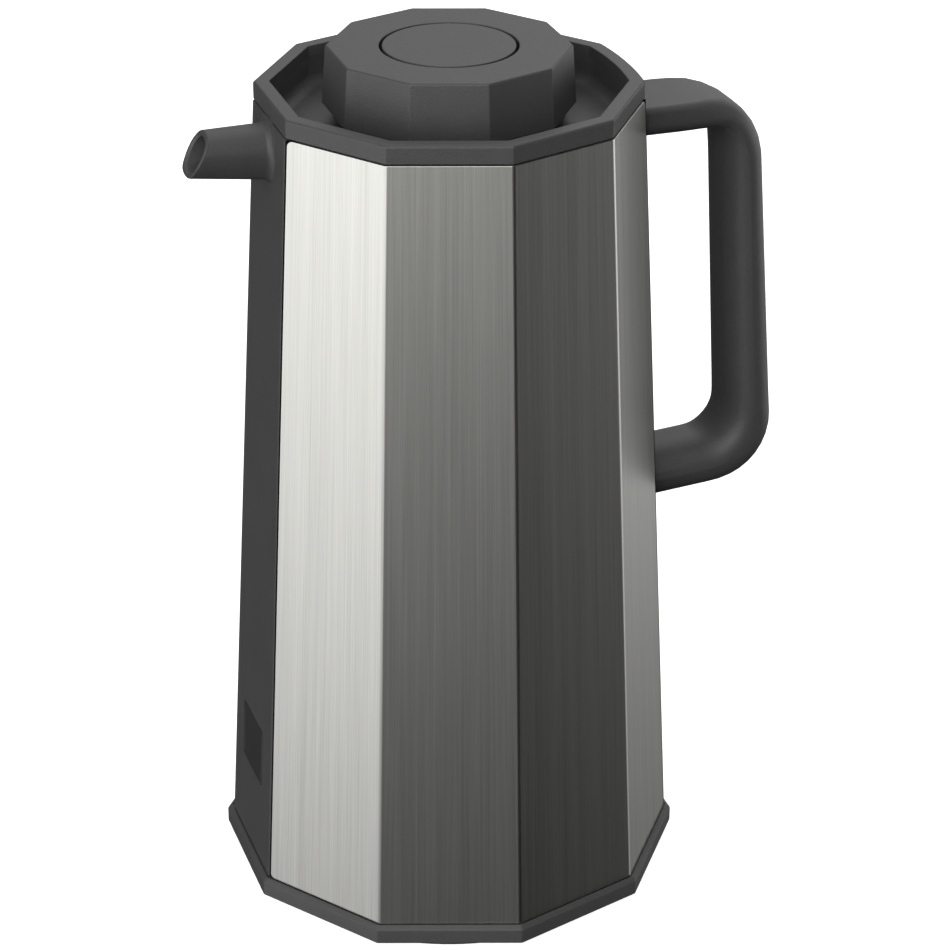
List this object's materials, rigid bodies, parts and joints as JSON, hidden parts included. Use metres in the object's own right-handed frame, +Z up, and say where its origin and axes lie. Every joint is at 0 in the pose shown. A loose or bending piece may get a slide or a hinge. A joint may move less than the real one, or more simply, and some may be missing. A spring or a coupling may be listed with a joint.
{
  "type": "thermal carafe",
  "caption": "Ten-sided thermal pouring carafe with steel panels, spout, loop handle and a screw-in push-button stopper over a glass vacuum flask.",
  "frame": {"origin": "on the body's axis, at the flat face that the carafe stands on", "axes": "+Z up along the body's axis, spout along -X, handle along +X"},
  "size_m": [0.1817, 0.143, 0.2648],
  "materials": {
    "charcoal_plastic": "fine moulded grain, satin",
    "column_plastic": "fine moulded grain, satin",
    "case_plastic": "plain moulded",
    "stopper_plastic": "plain moulded",
    "brushed_panel": "vertical brushing",
    "steel": "bright",
    "flask_glass": "silvered clear glass",
    "silicone": "matte silicone",
    "black_rubber": "matte",
    "badge": "smooth, slightly glossy",
    "pad": "pressed fibre"
  },
  "bodies": {
    "root": {"base_ring": "charcoal_plastic", "bottom_cover": "charcoal_plastic", "liner_cushion": "black_rubber", "body_case": "case_plastic", "steel_panel_left": "brushed_panel", "steel_panel_right": "brushed_panel", "front_column": "column_plastic", "rear_column": "column_plastic", "badge_plate": "badge", "handle": "charcoal_plastic", "handle_screws": "steel", "column_screws": "steel", "rim": "charcoal_plastic", "neck_tray": "charcoal_plastic", "spout_sleeve": "silicone", "mouth_gasket": "silicone", "flask_inner": "flask_glass", "flask_outer": "flask_glass", "flask_spacers": "pad", "flask_tip": "flask_glass"},
    "stopper_seal": {"stopper_gasket": "silicone"},
    "stopper": {"stopper_body": "stopper_plastic", "knob_cover": "charcoal_plastic", "stem_seal": "black_rubber", "spring_seat": "steel", "button_spring": "steel"},
    "button": {"push_button": "charcoal_plastic", "valve_stem": "steel", "valve_disc": "stopper_plastic", "valve_gasket": "silicone", "valve_screw": "steel"}
  },
  "joints": [
    {"name": "stopper_lift", "type": "slide", "parent": "root", "child": "stopper_seal", "axis": [0, 0, 1], "range_m": [0, 0.075]},
    {"name": "stopper_turn", "type": "hinge", "parent": "stopper_seal", "child": "stopper", "pos_m": [0, 0, 0.2283], "axis": [0, 0, 1], "range_deg": [0, 90]},
    {"name": "button_press", "type": "slide", "parent": "stopper", "child": "button", "axis": [0, 0, -1], "range_m": [0, 0.006], "stiffness_N_per_m": 900, "springref_m": -0.003, "deforming": ["button_spring"]}
  ]
}
